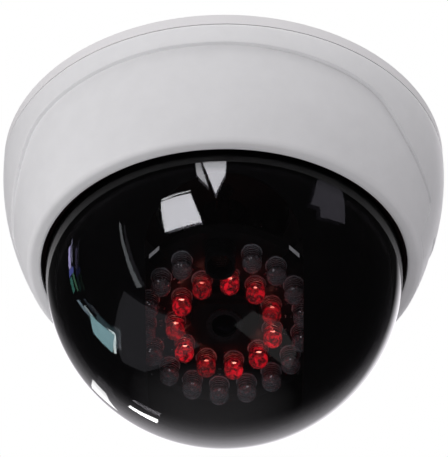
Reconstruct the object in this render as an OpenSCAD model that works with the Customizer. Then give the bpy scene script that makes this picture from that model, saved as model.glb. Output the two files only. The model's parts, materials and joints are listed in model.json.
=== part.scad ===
// Ceiling dome camera: twist-on housing with a smoked dome, a slotted black
// shroud and a pan / tilt camera module ringed with infrared LEDs.
// Millimetres. Origin: centre of the ceiling face, at the mouth of the cable
// entry. +Z points up into the ceiling, so the camera hangs below z = 0.
// -Y is the front, where the shroud's slot starts.

/* [Housing] */
// Outside diameter of the base at the ceiling
housing_d = 120; // [119:0.5:121]
// Visible height of the base rim
rim_h = 3.5; // [3.2:0.1:3.6]
// Distance from the ceiling to the housing's lower lip
housing_h = 36.3; // [36:0.1:36.6]
// Gap of the seam between base and cover
seam_gap = 0.2; // [0.1:0.05:0.3]
// Diameter of the opening around the dome
opening_d = 97; // [96.6:0.1:97.2]
// Wall thickness of the cover
wall = 2.2; // [1.9:0.1:2.3]
// Depth of the relief step of the front and rear panels
step_depth = 0.9; // [0.5:0.1:1]
// Drop from the ceiling to the top line of the panels
step_drop = 9.7; // [9.2:0.1:10.2]
// Turn of the panel pattern about the vertical axis, in degrees
panel_turn = -7.3; // [-20:0.5:20]
// Pitch circle of the three ceiling screw holes
screw_pcd = 94; // [93:0.5:94.5]
// Diameter of a ceiling screw hole
screw_hole_d = 4.4; // [4:0.1:4.6]

/* [Dome] */
// Outside diameter of the smoked dome
dome_d = 94.6; // [94.2:0.1:94.8]
// Wall thickness of the dome
dome_wall = 2; // [1.8:0.1:2.2]

/* [Shroud] */
// Outside diameter of the black shroud
shroud_d = 88; // [87.5:0.1:88.4]
// Width of the shroud's viewing slot
slot_w = 39.6; // [38:0.2:41]
// Elevation of the front end of the slot, in degrees below the horizon
slot_front = 31.4; // [30:0.2:36]
// Elevation of the rear end of the slot, in degrees, past 90 straight down
slot_rear = 100; // [95:1:105]

/* [Camera module] */
// Tilt of the camera from straight down towards the front, in degrees
tilt_rest = 22; // [14:1:26]
// Distance from the tilt axis to the front face of the LED board
board_h = 24.2; // [23.8:0.1:24.4]
// Number of lamps in the outer ring, which leaves room for the light sensor
outer_count = 16; // [14:1:16]
// Radius of the outer ring of lamps
outer_r = 20.1; // [19.8:0.1:20.1]
// Number of lamps in the inner ring
inner_count = 11; // [9:1:11]
// Radius of the inner ring of lamps
inner_r = 12.6; // [12.4:0.1:12.6]
// Diameter of a lamp's body
led_d = 5; // [4.8:0.1:5]

/* [Hidden] */
$fn = 96;
R = housing_d / 2;
dome_r = dome_d / 2;
shroud_r = shroud_d / 2;
open_r = opening_d / 2;
zc = -36.1;                      // height of the dome's centre and the tilt axis
cover_top = -rim_h - seam_gap;
bulge = 0.0075;                  // the housing wall curves in with the square of the drop
lip_z = -housing_h;
lip_t = 1.9;
lip_edge = 2;                    // rounding of the cover's lower outer edge
edge_a = 25;                     // where the rounding takes over from the wall, in degrees
function wall_r(z) = R - bulge * (-rim_h - z) * (-rim_h - z);
edge_z = lip_z + lip_edge * (1 - sin(edge_a));
edge_rc = wall_r(edge_z) - lip_edge * cos(edge_a);
seat = lip_z + 4.5;              // top of the dome's flange
wall_z = [for (i = [0:12]) -5 - (housing_h - 7.5) * i / 12];
inner_step = 360 / inner_count;
outer_step = 20.51;
outer_first = 20.34;
inner_first = 6.1;
sensor_clock = -3;
sensor_r = 19.2;
board_t = 1.6;
eps = 0.01;

// ---------- helpers ----------

// Ring from radius a to radius b between heights z0 and z1.
module ring(a, b, z0, z1) {
  difference() {
    translate([0, 0, z0]) cylinder(r = b, h = z1 - z0);
    translate([0, 0, z0 - 1]) cylinder(r = a, h = z1 - z0 + 2);
  }
}

// Part of that ring from angle t0 to angle t1, under 170 degrees.
module ring_sector(a, b, z0, z1, t0, t1) {
  intersection() {
    ring(a, b, z0, z1);
    translate([0, 0, z0 - 1]) linear_extrude(z1 - z0 + 2)
      polygon([[0, 0], [2 * b * cos(t0), 2 * b * sin(t0)],
               [2 * b * cos((t0 + t1) / 2), 2 * b * sin((t0 + t1) / 2)],
               [2 * b * cos(t1), 2 * b * sin(t1)]]);
  }
}

// Pan-head screw hanging head down: head below z, shank above it.
module screw_up(head_r, head_h, shank_r, shank_l) {
  difference() {
    union() {
      translate([0, 0, -head_h]) cylinder(r1 = head_r * 0.8, r2 = head_r, h = head_h * 0.45);
      translate([0, 0, -head_h * 0.55 - eps]) cylinder(r = head_r, h = head_h * 0.55 + eps);
      translate([0, 0, -eps]) cylinder(r = shank_r, h = shank_l);
    }
    // cross recess
    translate([-head_r * 0.6, -0.22, -head_h - 1]) cube([head_r * 1.2, 0.44, 1.6]);
    translate([-0.22, -head_r * 0.6, -head_h - 1]) cube([0.44, head_r * 1.2, 1.6]);
  }
}

// Children placed in the camera module's own frame: tilt axis through the
// origin along X, optical axis along -Z, tilted towards the front at rest.
module module_frame() {
  translate([0, 0, zc]) rotate([-tilt_rest, 0, 0]) children();
}

// Position in the module frame at clock angle t, seen from the front.
function clock(r, t) = [r * sin(t), -r * cos(t)];

// Tube swept along points, with rings facing each point's own direction.
function dir_at(p, i) =
  let (a = p[max(i - 1, 0)], b = p[min(i + 1, len(p) - 1)], d = b - a) d / norm(d);
module tube_path(p, r, n = 10) {
  pts = [for (i = [0:len(p) - 1])
    let (d = dir_at(p, i), u = [1, 0, 0], v = cross(d, u))
      for (k = [0:n - 1]) p[i] + r * (cos(360 * k / n) * u + sin(360 * k / n) * v / norm(v))];
  m = len(p);
  faces = concat(
    [[for (k = [0:n - 1]) k]],
    [for (i = [0:m - 2]) for (k = [0:n - 1])
      [i * n + k, (i + 1) * n + k, (i + 1) * n + (k + 1) % n, i * n + (k + 1) % n]],
    [[for (k = [n - 1:-1:0]) (m - 1) * n + k]]);
  polyhedron(points = pts, faces = faces, convexity = 4);
}

// ---------- base body ----------

module base_plate() {
  color("white")
  difference() {
    union() {
      // disc with a small edge break at the ceiling
      translate([0, 0, -2.5]) cylinder(r = R, h = 2.1);
      translate([0, 0, -0.4 - eps]) cylinder(r1 = R, r2 = R - 0.4, h = 0.4 + eps);
      // rim that meets the cover
      ring(R - 2.1, R, -rim_h, -2.4);
      // spigot wall with bayonet tabs and stops
      ring(51.8, 53.8, -9.6, -2.4);
      for (k = [0:2]) {
        ring_sector(53.6, 55.6, -8.9, -6.8, 120 * k - 6, 120 * k + 12);
        ring_sector(53.6, 55.4, -8.9, -2.4, 120 * k - 8, 120 * k - 5.6);
      }
      // pan hub: shoulder, then journal
      translate([0, 0, -11.9]) cylinder(r = 17, h = 9.5);
      translate([0, 0, -15]) cylinder(r = 14, h = 4);
      // end stop for the pan, at the rear
      ring_sector(16.5, 20, -11.4, -2.4, 81, 99);
      // bosses of the ceiling screws and posts of the power board
      for (k = [0:2]) rotate([0, 0, 30 + 120 * k]) translate([screw_pcd / 2, 0, -4]) cylinder(r = 4.6, h = 2);
      for (p = [[-17, 29], [17, 29], [0, 43]]) translate([p[0], p[1], -4.5]) cylinder(r = 2.4, h = 2.5);
      // stiffening ribs
      for (t = [-60, -90, -120, 0, 180]) rotate([0, 0, t]) translate([16, -0.6, -4]) cube([36.5, 1.2, 2]);
    }
    // cable entry and lead passage
    translate([0, 0, -16]) cylinder(r = 5.5, h = 17);
    translate([-2.2, 0, -10.4]) cube([4.4, 22, 4.4]);
    for (k = [0:2]) rotate([0, 0, 30 + 120 * k]) translate([screw_pcd / 2, 0, -6]) cylinder(d = screw_hole_d, h = 8);
    for (p = [[-17, 29], [17, 29], [0, 43]]) translate([p[0], p[1], -6]) cylinder(r = 0.95, h = 4.4);
    for (k = [0:2]) rotate([0, 0, 30 + 120 * k]) translate([10, 0, -16]) cylinder(r = 1.2, h = 7);
    // shallow pockets in the ceiling face, with webs between them
    for (k = [0:5]) ring_sector(13, 38, -0.8, 1, 60 * k + 3, 60 * k + 57);
  }
}

module cable_grommet() {
  color("#222222")
  difference() {
    translate([0, 0, -5]) cylinder(r = 5.45, h = 5);
    translate([0, 0, -6]) cylinder(r = 3.2, h = 7);
  }
}

module power_board() {
  color("#14532d")
  difference() {
    translate([-20, 26, -6.1]) cube([40, 20, 1.6]);
    for (p = [[-17, 29], [17, 29], [0, 43]]) translate([p[0], p[1], -7]) cylinder(r = 1.2, h = 4);
  }
}

module power_board_screws() {
  color("silver")
  for (p = [[-17, 29], [17, 29], [0, 43]]) translate([p[0], p[1], -6.1]) screw_up(1.8, 1.3, 0.9, 4.4);
}

module terminal_block() {
  color("#1f6f4a")
  difference() {
    translate([7, 34, -11.3]) cube([10, 7.6, 5.2]);
    for (x = [9.5, 14.5]) {
      translate([x, 37, -12]) cylinder(r = 1.45, h = 3.5);
      translate([x - 1.2, 40, -9.2]) cube([2.4, 3, 2.2]);
    }
  }
}

module terminal_screws() {
  color("silver")
  for (x = [9.5, 14.5]) translate([x, 37, -10.9]) difference() {
    cylinder(r = 1.4, h = 2.35);
    translate([-2, -0.25, -1]) cube([4, 0.5, 1.6]);
  }
}

module capacitors() {
  color("#333a55")
  for (p = [[-13, 40, 2.6, 5], [-6.6, 40, 2.6, 5], [-14, 34.2, 2, 4]])
    translate([p[0], p[1], -6.1 - p[3]]) cylinder(r = p[2], h = p[3]);
}

module power_inductor() {
  color("#3a3a3a")
  difference() {
    translate([-8.6, 31, -9.4]) cube([6, 6, 3.3]);
    translate([-5.6, 34, -9.9]) cylinder(r = 2.2, h = 1.1);
  }
}

module lead_header() {
  color("ivory")
  difference() {
    translate([-4, 26, -10.8]) cube([8, 4.4, 4.7]);
    translate([-3, 25, -10]) cube([6, 4, 3.2]);
  }
}

lead_a = [[0, 28.8, -8.4], [0, 26, -8.4], [0, 22, -8.4], [0, 18, -8.4], [0, 14, -8.4], [0, 10, -8.4],
          [0, 7, -8.4], [0, 5, -8.5], [0, 3.4, -8.8], [0, 2, -9.4], [0, 1, -10.2], [0, 0.3, -11.2],
          [0, 0, -12.2], [0, 0, -13]];
lead_b = [[0, 0, -13.1], [0, 0, -15], [0, 0.1, -17.3], [0, 0.5, -20.2], [0, 1.4, -23.2], [0, 2.7, -26.6],
          [0, 4.1, -29.9], [0, 5.2, -33.1], [0, 5.75, -35.9], [0, 5.65, -38], [0, 5.1, -39.6], [0, 4.46, -41.08]];

module supply_lead() { color("#1a1a1a") tube_path(lead_a, 1.5); }
module camera_lead() { color("#1a1a1a") tube_path(lead_b, 1.5); }

module pan_retainer_ring() {
  color("silver")
  difference() {
    ring(6.5, 17.5, -16.6, -15);
    for (k = [0:2]) rotate([0, 0, 30 + 120 * k]) translate([10, 0, -18]) cylinder(r = 1.5, h = 5);
  }
}

module pan_retainer_screws() {
  color("silver")
  for (k = [0:2]) rotate([0, 0, 30 + 120 * k]) translate([10, 0, -16.6]) screw_up(2.4, 1.5, 1.15, 6.8);
}

// ---------- cover body ----------

// Outer profile of the cover as points [r, z], from the seam to the lip.
function cover_outer() = concat(
  [[wall_r(cover_top), cover_top]],
  [for (z = wall_z) [wall_r(z), z]],
  [[wall_r(edge_z), edge_z]],
  [for (a = [edge_a + 13:13:85]) [edge_rc + lip_edge * cos(a), lip_z + lip_edge - lip_edge * sin(a)]],
  [[edge_rc, lip_z], [open_r + 0.3, lip_z], [open_r, lip_z + 0.3]]);

// How much of the relief is left at height z: all of it at the top line, none at the lip.
function relief(z) = let (t = min(max((z - (lip_z + 2.5)) / 20, 0), 1)) t * t * (3 - 2 * t);

module cover_skin() {
  rotate_extrude() polygon(concat(
    [for (z = wall_z) [wall_r(z) + 2, z]],
    [for (i = [12:-1:0]) [wall_r(wall_z[i]) - step_depth * relief(wall_z[i]), wall_z[i]]]));
}

// Outline of the front and rear panels, seen along the panel direction: a top
// line that falls gently, a shoulder, then a side that runs out at the tail.
// Pairs of [distance from the middle, drop below the top line].
panel_side = [for (p = [[10, 0], [17, 0.15], [24, 0.45], [30, 0.8], [36, 1.3], [40, 1.8], [43.7, 2.6], [46.4, 3.8],
                        [48.8, 6.1], [51, 8.7], [53, 10.9], [54.6, 12.7], [56, 14.4], [56.15, 15.2], [55.9, 16.3],
                        [55, 18.8], [53.9, 21.3], [52.7, 23.8], [52, 25.3], [52, 37.3]])
  [p[0], -step_drop - p[1]]];
module panel_outline() {
  n = len(panel_side);
  polygon(concat(panel_side, [for (i = [n - 1:-1:0]) [-panel_side[i][0], panel_side[i][1]]]));
}

module cover_shell() {
  color("white")
  difference() {
    union() {
      difference() {
        rotate_extrude() polygon(concat(
          cover_outer(),
          [[open_r, lip_z + lip_t], [wall_r(lip_z + lip_t) - wall + 0.15, lip_z + lip_t]],
          [for (i = [12:-1:0]) [wall_r(wall_z[i]) - wall, wall_z[i]]],
          [[wall_r(cover_top) - wall, cover_top]]));
        intersection() {
          cover_skin();
          rotate([0, 0, panel_turn]) rotate([90, 0, 0]) linear_extrude(140, center = true) panel_outline();
        }
      }
      // bayonet lugs
      for (k = [0:2]) ring_sector(54, 58.4, -6.6, -4.4, 120 * k - 5, 120 * k + 5);
      // bosses of the dome's clamp ring, each with a web to the wall
      for (k = [0:3]) rotate([0, 0, 45 + 90 * k]) {
        translate([50.2, 0, seat + 2]) cylinder(r = 2.6, h = 4.9);
        translate([50.2, -0.8, seat + 2]) cube([3.7, 1.6, 4.9]);
      }
    }
    for (k = [0:3]) rotate([0, 0, 45 + 90 * k]) translate([50.2, 0, seat + 1.5]) cylinder(r = 1.15, h = 6);
  }
}

module dome() {
  color([0.06, 0.06, 0.08, 0.6])
  difference() {
    union() {
      intersection() {
        translate([0, 0, zc]) sphere(r = dome_r, $fn = 160);
        translate([-60, -60, -100]) cube([120, 120, 100 + zc]);
      }
      // short skirt, then the flange with a fillet under it
      translate([0, 0, zc]) cylinder(r = dome_r, h = seat - 1 - zc, $fn = 160);
      translate([0, 0, seat - 2]) cylinder(r = 49.7, h = 2);
      translate([0, 0, seat - 3.1]) cylinder(r1 = dome_r - 0.2, r2 = 48, h = 1.1 + eps);
    }
    translate([0, 0, zc]) sphere(r = dome_r - dome_wall, $fn = 160);
    translate([0, 0, zc]) cylinder(r = dome_r - dome_wall, h = 8, $fn = 160);
  }
}

module dome_gasket() { color("#1b1b1b") ring(48.6, 49.6, seat - 2.6, seat - 2); }

module dome_clamp_ring() {
  color("#2a2a2a")
  difference() {
    union() {
      ring(46.2, 49.6, seat, seat + 1.8);
      ring(46.2, 47.4, seat + 1.7, seat + 8.5);
      for (k = [0:3]) rotate([0, 0, 45 + 90 * k]) {
        translate([50.2, 0, seat + 7]) cylinder(r = 2.5, h = 1.5);
        difference() {
          translate([46.6, -2.5, seat + 7]) cube([3.6, 5, 1.5]);
          translate([50.2, 0, seat + 6]) cylinder(r = 1.3, h = 4);
        }
      }
    }
    for (k = [0:3]) rotate([0, 0, 45 + 90 * k]) translate([50.2, 0, seat + 6]) cylinder(r = 1.3, h = 4);
    translate([0, 0, seat - 1]) cylinder(r = 46.2, h = 12);
  }
}

module clamp_ring_screws() {
  color("silver")
  for (k = [0:3]) rotate([0, 0, 45 + 90 * k]) translate([50.2, 0, seat + 8.5]) rotate([180, 0, 0]) screw_up(2.1, 1.5, 1.1, 6);
}

// ---------- pan body ----------

module turntable() {
  color("gainsboro")
  difference() {
    union() {
      ring(14.06, 40.5, -14.8, -12);
      // pan stop peg, at the front
      translate([0, -18.6, -12 - eps]) cylinder(r = 1, h = 2.4);
    }
    for (x = [-26.5, 26.5]) for (y = [-4.5, 4.5]) translate([x, y, -16]) cylinder(r = 1.2, h = 6);
    for (k = [0:2]) rotate([0, 0, 30 + 120 * k]) translate([37.6, 0, -16]) cylinder(r = 1.2, h = 6);
    for (t = [62, 118, 242, 298]) rotate([0, 0, t]) translate([29, 0, -16]) cylinder(r = 3.2, h = 6);
  }
}

module yoke() {
  color("#2b2b2b")
  difference() {
    union() {
      translate([0, 0, -16.3]) cylinder(r = 24, h = 1.5);
      translate([-31.5, -7, -16.3]) cube([63, 14, 1.5]);
      for (s = [-1, 1]) {
        translate([s > 0 ? 30 : -31.5, -7, zc]) cube([1.5, 14, -16.3 - zc + 0.5]);
        translate([s > 0 ? 30 : -31.5, 0, zc]) rotate([0, 90, 0]) cylinder(r = 7, h = 1.5);
      }
    }
    translate([0, 0, -18]) cylinder(r = 18.5, h = 5);
    for (x = [-26.5, 26.5]) for (y = [-4.5, 4.5]) translate([x, y, -18]) cylinder(r = 1.4, h = 6);
    translate([-40, 0, zc]) rotate([0, 90, 0]) cylinder(r = 2.05, h = 80);
  }
}

module yoke_screws() {
  color("silver")
  for (x = [-26.5, 26.5]) for (y = [-4.5, 4.5]) translate([x, y, -16.3]) screw_up(2.1, 1.4, 1.15, 4);
}

module shroud() {
  color("#0c0c0c")
  difference() {
    union() {
      difference() {
        union() {
          intersection() {
            translate([0, 0, zc]) sphere(r = shroud_r, $fn = 160);
            translate([-60, -60, -100]) cube([120, 120, 100 + zc]);
          }
          translate([0, 0, zc]) cylinder(r = shroud_r, h = -14.8 - zc);
        }
        translate([0, 0, zc]) sphere(r = shroud_r - 1.4, $fn = 160);
        translate([0, 0, zc]) cylinder(r = shroud_r - 1.4, h = 30);
      }
      for (k = [0:2]) ring_sector(34.6, 43, -16.3, -14.8, 30 + 120 * k - 9, 30 + 120 * k + 9);
    }
    for (k = [0:2]) rotate([0, 0, 30 + 120 * k]) translate([37.6, 0, -18]) cylinder(r = 1.4, h = 6);
    // viewing slot: round front end, great-circle band, round rear end
    translate([0, 0, zc]) {
      for (g = [slot_front, slot_rear]) rotate([g - 90, 0, 0]) translate([0, 0, -60]) cylinder(d = slot_w, h = 48);
      rotate([90, 0, 90]) linear_extrude(slot_w - 0.06, center = true)
        polygon([[0, 0], [-70 * cos(slot_front), -70 * sin(slot_front)], [-50, -70],
                 [0, -80], [-70 * cos(slot_rear), -70 * sin(slot_rear)]]);
    }
  }
}

module shroud_screws() {
  color("silver")
  for (k = [0:2]) rotate([0, 0, 30 + 120 * k]) translate([37.6, 0, -16.3]) screw_up(2.1, 1.4, 1.15, 4);
}

module pivot_pin() {
  color("silver")
  translate([0, 0, zc]) rotate([0, 90, 0]) {
    translate([0, 0, -32.7]) cylinder(r = 3.4, h = 1.2);
    translate([0, 0, -31.5 - eps]) cylinder(r = 2, h = 4.5);
  }
}

module tilt_lock_washer() {
  color("silver")
  translate([31.5, 0, zc]) rotate([0, 90, 0]) difference() {
    cylinder(r = 4.2, h = 0.5);
    translate([0, 0, -1]) cylinder(r = 2.15, h = 3);
  }
}

module tilt_lock_screw() {
  color("#1e1e1e")
  translate([0, 0, zc]) rotate([0, 90, 0]) {
    difference() {
      translate([0, 0, 32]) cylinder(r = 5, h = 4);
      for (k = [0:17]) rotate([0, 0, 20 * k]) translate([5.25, 0, 31]) cylinder(r = 0.55, h = 6);
      translate([0, 0, 35.2]) cylinder(r = 3.2, h = 2);
    }
    translate([0, 0, 27]) cylinder(r = 2, h = 5 + eps);
  }
}

// ---------- tilt body ----------

module cradle() {
  color("#111111")
  module_frame() difference() {
    union() {
      ring(23.5, 25.2, -board_h - 0.9, -board_h + 3.6);
      // ledge behind the board
      ring(21.8, 24, -board_h + board_t, -board_h + 3.2);
      // arms
      for (s = [-1, 1]) {
        translate([s > 0 ? 24.4 : -29.2, -6, -board_h - 0.9]) cube([4.8, 12, 4.5]);
        translate([s > 0 ? 27.2 : -29.2, -6, -board_h + 2]) cube([2, 12, board_h - 2]);
        translate([s > 0 ? 27.2 : -29.2, 0, 0]) rotate([0, 90, 0]) cylinder(r = 6, h = 2);
      }
    }
    translate([-40, 0, 0]) rotate([0, 90, 0]) cylinder(r = 2.06, h = 80);
    translate([0, 0, -board_h]) cylinder(r = 23.45, h = board_t);
  }
}

// Bent steel clips over the cradle's rim that hold the board down.
module board_clips() {
  color("silver")
  module_frame() for (t = [-134, -46, 46, 134]) {
    ring_sector(22.95, 25.65, -board_h - 1.3, -board_h - 0.91, t - 4, t + 4);
    ring_sector(22.95, 23.35, -board_h - 1, -board_h - 0.02, t - 4, t + 4);
    ring_sector(25.22, 25.65, -board_h - 1, -board_h + 2.8, t - 4, t + 4);
  }
}

module led_board() {
  color("#101412")
  module_frame() translate([0, 0, -board_h]) difference() {
    cylinder(r = 23.4, h = board_t);
    translate([0, 0, -1]) cylinder(r = 8.9, h = 4);
  }
}

// One 5 mm through-hole lamp, flange on z = 0, tip towards -Z.
module led() {
  translate([0, 0, -1]) cylinder(d = led_d + 0.6, h = 1);
  translate([0, 0, -6.1]) cylinder(d = led_d, h = 5.5);
  translate([0, 0, -6.1]) sphere(d = led_d);
}

module outer_leds() {
  color([0.8, 0.82, 0.85, 0.7])
  module_frame() for (i = [0:outer_count - 1]) {
    p = clock(outer_r, outer_first + outer_step * i);
    translate([p[0], p[1], -board_h]) led();
  }
}

module inner_leds() {
  color([0.9, 0.1, 0.1, 0.8])
  module_frame() for (i = [0:inner_count - 1]) {
    p = clock(inner_r, inner_first + inner_step * i);
    translate([p[0], p[1], -board_h]) led();
  }
}

module sensor_hood() {
  p = clock(sensor_r, sensor_clock);
  color("#0a0a0a")
  module_frame() translate([p[0], p[1], -board_h]) difference() {
    translate([0, 0, -8.2]) cylinder(r = 4.1, h = 8.2);
    translate([0, 0, -12]) cylinder(r = 3, h = 13);
  }
}

module photocell() {
  p = clock(sensor_r, sensor_clock);
  color("#7a4a2a")
  module_frame() translate([p[0], p[1], -board_h]) translate([0, 0, -4.4]) cylinder(r = 2.6, h = 4.4);
}

module lens_holder() {
  color("#151515")
  module_frame() difference() {
    union() {
      translate([0, 0, -26.5]) cylinder(r = 8.6, h = 14.5);
      translate([-6, -6, -28]) cube([12, 12, 2]);
    }
    translate([0, 0, -18.5]) cylinder(r = 6.6, h = 8);
    translate([0, 0, -29]) cylinder(r = 4.06, h = 14);
  }
}

module sensor_board() {
  color("#0f3d2a")
  module_frame() difference() {
    translate([-13, -13, -12]) cube([26, 26, board_t]);
    for (x = [-10.5, 10.5]) for (y = [-10.5, 10.5]) translate([x, y, -13]) cylinder(r = 1.3, h = 4);
  }
}

module image_sensor() {
  color("#31465a")
  module_frame() translate([-4, -4, -13.2]) cube([8, 8, 1.2]);
}

module video_chip() {
  color("#1a1a1a")
  module_frame() {
    translate([-9, -8, -10.4]) cube([7, 7, 1]);
    translate([3.4, -7, -10.4]) cube([5, 4, 1.4]);
  }
}

module standoffs() {
  color("goldenrod")
  module_frame() for (x = [-10.5, 10.5]) for (y = [-10.5, 10.5])
    translate([x, y, -board_h + board_t]) difference() {
      cylinder(r = 2.3, h = board_h - board_t - 12, $fn = 6);
      translate([0, 0, 2]) cylinder(r = 1.1, h = 10);
    }
}

module sensor_board_screws() {
  color("silver")
  module_frame() for (x = [-10.5, 10.5]) for (y = [-10.5, 10.5])
    translate([x, y, -10.4]) rotate([180, 0, 0]) screw_up(2, 1.3, 1.05, 5.5);
}

module lead_socket() {
  color("ivory")
  module_frame() difference() {
    translate([-5, 3.5, -10.4]) cube([10, 5, 4.2]);
    translate([-4.2, 4.3, -9.4]) cube([8.4, 3.4, 5]);
  }
}

module lead_plug() {
  color("ivory")
  module_frame() translate([-4.1, 4.4, -9.3]) cube([8.2, 3.2, 6.25]);
}

// ---------- lens body ----------

module lens_barrel() {
  color("#0d0d0d")
  module_frame() difference() {
    translate([0, 0, -29]) cylinder(r = 4, h = 12);
    translate([0, 0, -30]) cylinder(r = 3.3, h = 2.8);
    translate([0, 0, -28]) cylinder(r = 2.4, h = 9);
    translate([0, 0, -19.4]) cylinder(r = 3.2, h = 4);
  }
}

module lens_lock_ring() {
  color("#1c1c1c")
  module_frame() difference() {
    translate([0, 0, -29]) cylinder(r = 4.7, h = 0.9);
    translate([0, 0, -30]) cylinder(r = 4.05, h = 3);
    for (k = [0:5]) rotate([0, 0, 60 * k]) translate([4.9, 0, -30]) cylinder(r = 0.35, h = 3);
  }
}

// Meniscus-fronted element: flat back, spherical front.
module front_lens() {
  color([0.3, 0.25, 0.4, 0.5])
  module_frame() intersection() {
    translate([0, 0, -28.5]) cylinder(r = 3.25, h = 1.25);
    translate([0, 0, -28.4 + 7]) sphere(r = 7);
  }
}

module rear_lens() {
  color([0.5, 0.6, 0.7, 0.5])
  module_frame() translate([0, 0, -19.3]) cylinder(r = 3.1, h = 1.4);
}

base_plate();
cable_grommet();
power_board();
power_board_screws();
terminal_block();
terminal_screws();
capacitors();
power_inductor();
lead_header();
supply_lead();
pan_retainer_ring();
pan_retainer_screws();
cover_shell();
dome();
dome_gasket();
dome_clamp_ring();
clamp_ring_screws();
turntable();
yoke();
yoke_screws();
shroud();
shroud_screws();
pivot_pin();
camera_lead();
tilt_lock_washer();
tilt_lock_screw();
cradle();
board_clips();
led_board();
outer_leds();
inner_leds();
sensor_hood();
photocell();
lens_holder();
sensor_board();
image_sensor();
video_chip();
standoffs();
sensor_board_screws();
lead_socket();
lead_plug();
lens_barrel();
lens_lock_ring();
front_lens();
rear_lens();
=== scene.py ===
import json
import math
import random

import bmesh
import bpy
from mathutils import Matrix, Vector

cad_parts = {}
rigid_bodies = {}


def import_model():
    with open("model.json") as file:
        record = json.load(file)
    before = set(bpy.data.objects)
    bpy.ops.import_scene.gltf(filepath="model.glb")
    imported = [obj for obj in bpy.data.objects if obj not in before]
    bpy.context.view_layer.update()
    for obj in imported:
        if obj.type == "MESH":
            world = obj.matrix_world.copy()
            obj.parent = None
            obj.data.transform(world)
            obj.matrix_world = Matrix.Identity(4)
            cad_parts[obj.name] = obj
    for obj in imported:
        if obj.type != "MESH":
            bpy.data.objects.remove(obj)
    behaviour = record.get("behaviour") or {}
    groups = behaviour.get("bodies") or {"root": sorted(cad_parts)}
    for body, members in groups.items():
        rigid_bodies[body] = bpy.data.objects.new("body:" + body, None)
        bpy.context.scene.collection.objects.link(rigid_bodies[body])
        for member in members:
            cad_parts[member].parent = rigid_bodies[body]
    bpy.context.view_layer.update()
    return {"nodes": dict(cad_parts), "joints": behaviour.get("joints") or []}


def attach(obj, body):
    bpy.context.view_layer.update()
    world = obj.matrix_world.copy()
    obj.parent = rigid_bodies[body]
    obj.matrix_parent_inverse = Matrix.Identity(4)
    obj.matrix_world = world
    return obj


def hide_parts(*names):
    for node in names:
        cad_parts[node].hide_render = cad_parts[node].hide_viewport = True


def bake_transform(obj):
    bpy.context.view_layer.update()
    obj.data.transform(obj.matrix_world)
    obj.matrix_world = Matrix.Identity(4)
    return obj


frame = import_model()
N = frame["nodes"]
MM = 0.001
rng = random.Random(7)
scene = bpy.context.scene

# ------------------------------------------------------------------ dimensions (mm)
# the same figures as the CAD's; the tilt axis is read back from the joints
ZC = -33.5
for j in frame["joints"]:
    if j["name"] == "tilt":
        ZC = j["pos_m"][2] / MM
TILT = math.radians(22)
BOARD_H = 24.2
RIM_H, LIP_Z, WALL, BULGE = 3.5, -36.3, 2.2, 0.0075
COVER_TOP = -3.7
OPEN_R, LIP_T, LIP_EDGE, EDGE_A = 48.5, 1.9, 2.0, 25
SEAT = LIP_Z + 4.5
STEP_DEPTH, STEP_DROP = 0.9, 9.7
PANEL_TURN = -7.3
DOME_R, DOME_IN = 47.3, 45.3


def wall_r(z):
    return 60.0 - BULGE * (-RIM_H - z) ** 2


def smooth01(t):
    t = min(max(t, 0.0), 1.0)
    return t * t * (3 - 2 * t)


# ------------------------------------------------------------------ mesh helpers
def new_object(name, verts, faces, smooth_angle=35.0):
    me = bpy.data.meshes.new(name)
    me.from_pydata([tuple(c * MM for c in v) for v in verts], [], faces)
    me.update()
    bm = bmesh.new()
    bm.from_mesh(me)
    bmesh.ops.recalc_face_normals(bm, faces=bm.faces)
    bm.to_mesh(me)
    bm.free()
    o = bpy.data.objects.new(name, me)
    scene.collection.objects.link(o)
    shade(o, smooth_angle)
    return o


def shade(o, angle=35.0):
    me = o.data
    me.polygons.foreach_set("use_smooth", [True] * len(me.polygons))
    bm = bmesh.new()
    bm.from_mesh(me)
    lim = math.radians(angle)
    for e in bm.edges:
        e.smooth = not (len(e.link_faces) != 2 or e.calc_face_angle(0.0) > lim)
    bm.to_mesh(me)
    bm.free()
    me.update()


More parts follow.
